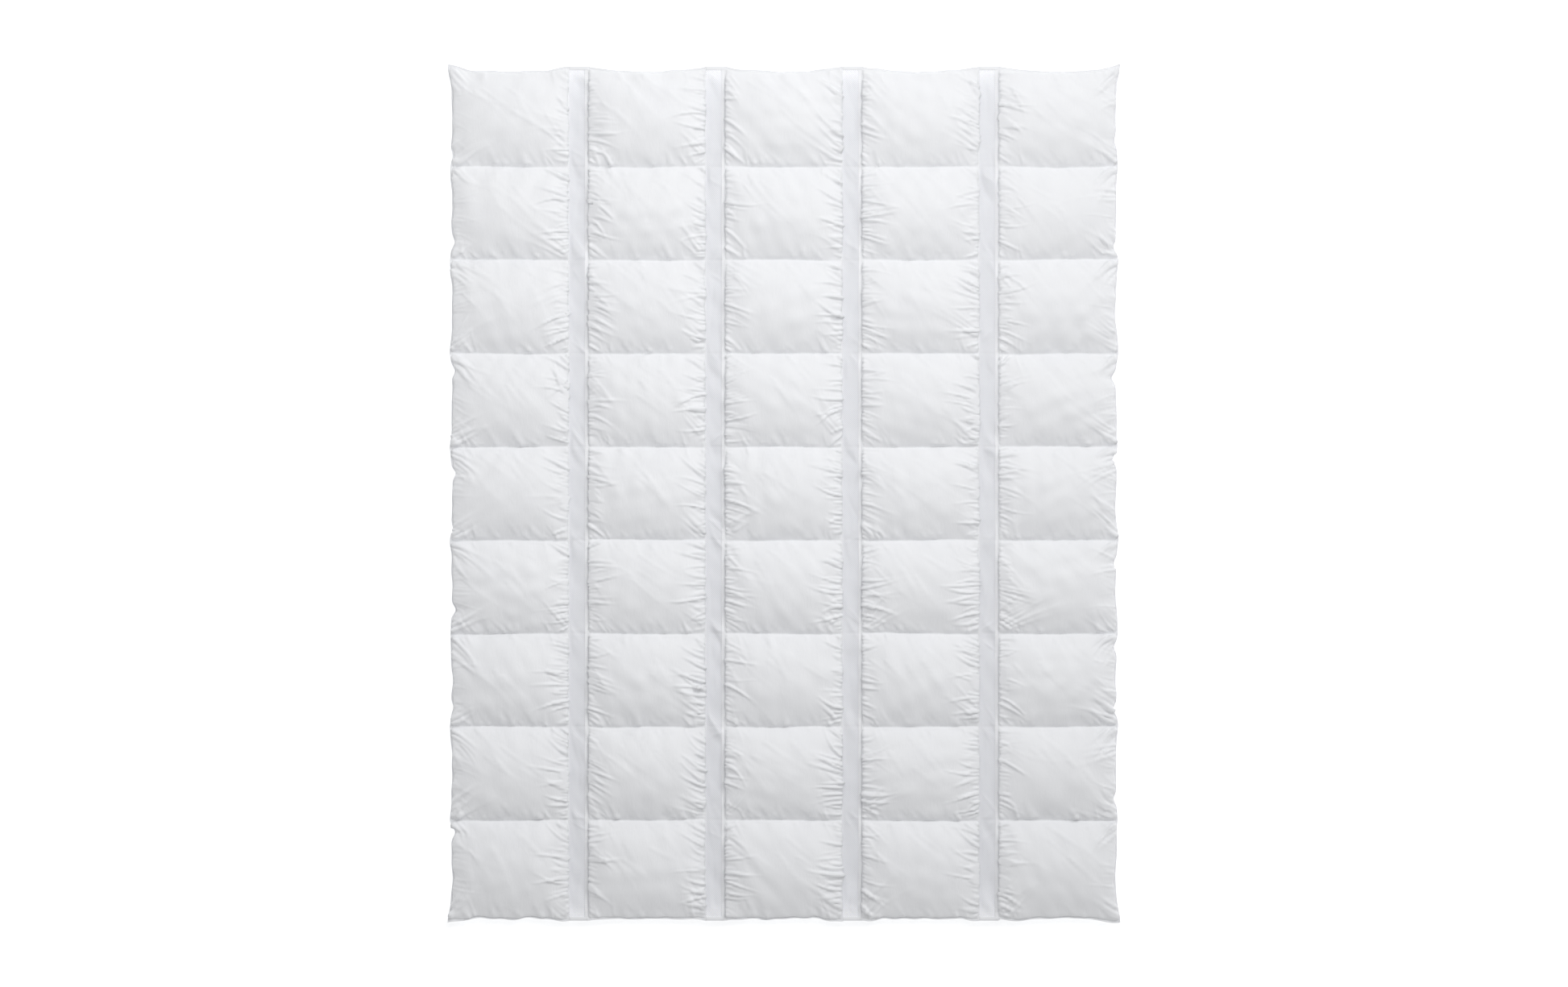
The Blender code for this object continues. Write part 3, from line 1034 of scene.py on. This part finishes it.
def make_strip(strip):
    height, middle = strip_shape(strip)
    cloth = make_mesh_strip(strip, height, eyelets)
    low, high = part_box(f"mesh_strip_{strip}")
    # The tape runs beside the lap of the next column.
    half = MESH_WIDTH / 2 - SEAM_LAP + 2 * TAPE_GAP
    tape_x = middle + half - TAPE_GAP - TAPE_WIDTH / 2
    ys = np.linspace(FOOT + 0.0015, HEAD - 0.0015, 977)
    rng = np.random.default_rng(40 + strip)
    xs = tape_x + wander(ys, rng, 0.0003, 0.06)
    edges = [height(xs + side * TAPE_WIDTH / 2, ys) for side in (-1, 1)]
    zs = (edges[0] + edges[1]) / 2 + 0.0008 + TAPE_DIMPLE * np.cos(np.arange(len(ys)) * math.pi)
    centre = np.stack([xs, ys, zs], axis=-1)
    across = np.stack([np.full_like(xs, TAPE_WIDTH), 0 * xs, edges[1] - edges[0]], axis=-1) / TAPE_WIDTH
    up = np.array([[0.0, 0.0, 1.0]])
    tape = band(f"tape_{strip}", centre, TAPE_WIDTH / 2, TAPE_HALF_THICK, across, up)
    tape.data.materials.append(cotton_tape)
    lines = []
    for side in (-1, 1):
        lines.append(centre + across * (side * (TAPE_WIDTH / 2 - 0.0014)) + up * 0.0005)
    x_row = np.linspace(low.x + SEAM_LAP, tape_x - TAPE_WIDTH / 2, 24)
    for r in range(1, ROWS):
        y_row = np.full_like(x_row, FIRST_SEAM + r * ROW_PITCH + row_seam_shift(r))
        lines.append(np.stack([x_row, y_row, height(x_row, y_row) + 0.0004], axis=-1))
    stitches = sew(f"strip_stitches_{strip}", lines, 50 + strip)
    # A binding folds over each end. Its line runs so that the binding's faces look outwards.
    bindings = []
    for end, way in ((FOOT, -1), (HEAD, 1)):
        x_end = np.linspace(low.x + 0.003, high.x - 0.003, 25)[::way]
        y_end = np.full_like(x_end, end - way * 0.0041)
        line = np.stack([x_end, y_end, height(x_end, y_end)], axis=-1)
        bindings.append(band("binding", line, 0.0044, 0.0014, np.array([[0.0, way, 0.0]]), up))
    with bpy.context.temp_override(active_object=bindings[0], selected_editable_objects=bindings):
        bpy.ops.object.join()
    binding = bindings[0]
    binding.name = f"end_binding_{strip}"
    binding.data.materials.append(ticking)
    start, end = (middle - half, 0, SEAM_Z), (middle + half, 0, SEAM_Z)
    for piece in (cloth, tape, stitches, binding):
        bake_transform(piece)
        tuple(start)
        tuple(end)
    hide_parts(f"mesh_strip_{strip}")


for number in range(1, COLUMNS + 1):
    make_column(number)
for number in range(1, COLUMNS):
    make_strip(number)

# ---------------------------------------------------------------- studio


def place_light(name, kind, energy, place, direction):
    """Adds a light that shines in a direction, and gives its settings."""
    light = bpy.data.lights.new(name, kind)
    light.energy = energy
    obj = bpy.data.objects.new(name, light)
    obj.location = place
    obj.rotation_mode = "QUATERNION"
    obj.rotation_quaternion = Vector(direction).to_track_quat("-Z", "Y")
    bpy.context.scene.collection.objects.link(obj)
    return light


FLOOR_SIZE = 120.0
half = FLOOR_SIZE / 2
corners = [(-half, -half), (half, -half), (half, half), (-half, half)]
floor = mesh_object("floor", [(x, y, FLOOR_Z - FLOOR_DROP) for x, y in corners], [[0, 1, 2, 3]])
floor.data.materials.append(studio_floor())

scene = bpy.context.scene
scene.view_settings.view_transform = "Standard"
world = bpy.data.worlds.new("white_studio")
world.use_nodes = True
sky = world.node_tree.nodes["Background"]
sky.inputs["Color"].default_value = (1.0, 1.0, 1.0, 1.0)
sky.inputs["Strength"].default_value = 0.462
scene.world = world
softbox_place, softbox_aim = Vector((0.2, 1.4, 2.6)), Vector((0, 0.9, 0))
softbox = place_light("overhead_softbox", "AREA", 34.7, softbox_place, softbox_aim - softbox_place)
softbox.size = 2.4
key = place_light("key", "SUN", 0.59, (0, 0, 0), (-0.56, -0.56, -0.61))
key.angle = 0.30  # a wide, soft sun

CAMERA_HEIGHT = 6.0
VIEW_WIDTH = 3.59  # floor seen from side to side
camera = bpy.data.cameras.new("camera")
camera.sensor_width = 36.0
camera.lens = camera.sensor_width * (CAMERA_HEIGHT - SEAM_Z) / VIEW_WIDTH
eye = bpy.data.objects.new("camera", camera)
eye.location = (0, 0, CAMERA_HEIGHT)
scene.collection.objects.link(eye)
scene.camera = eye
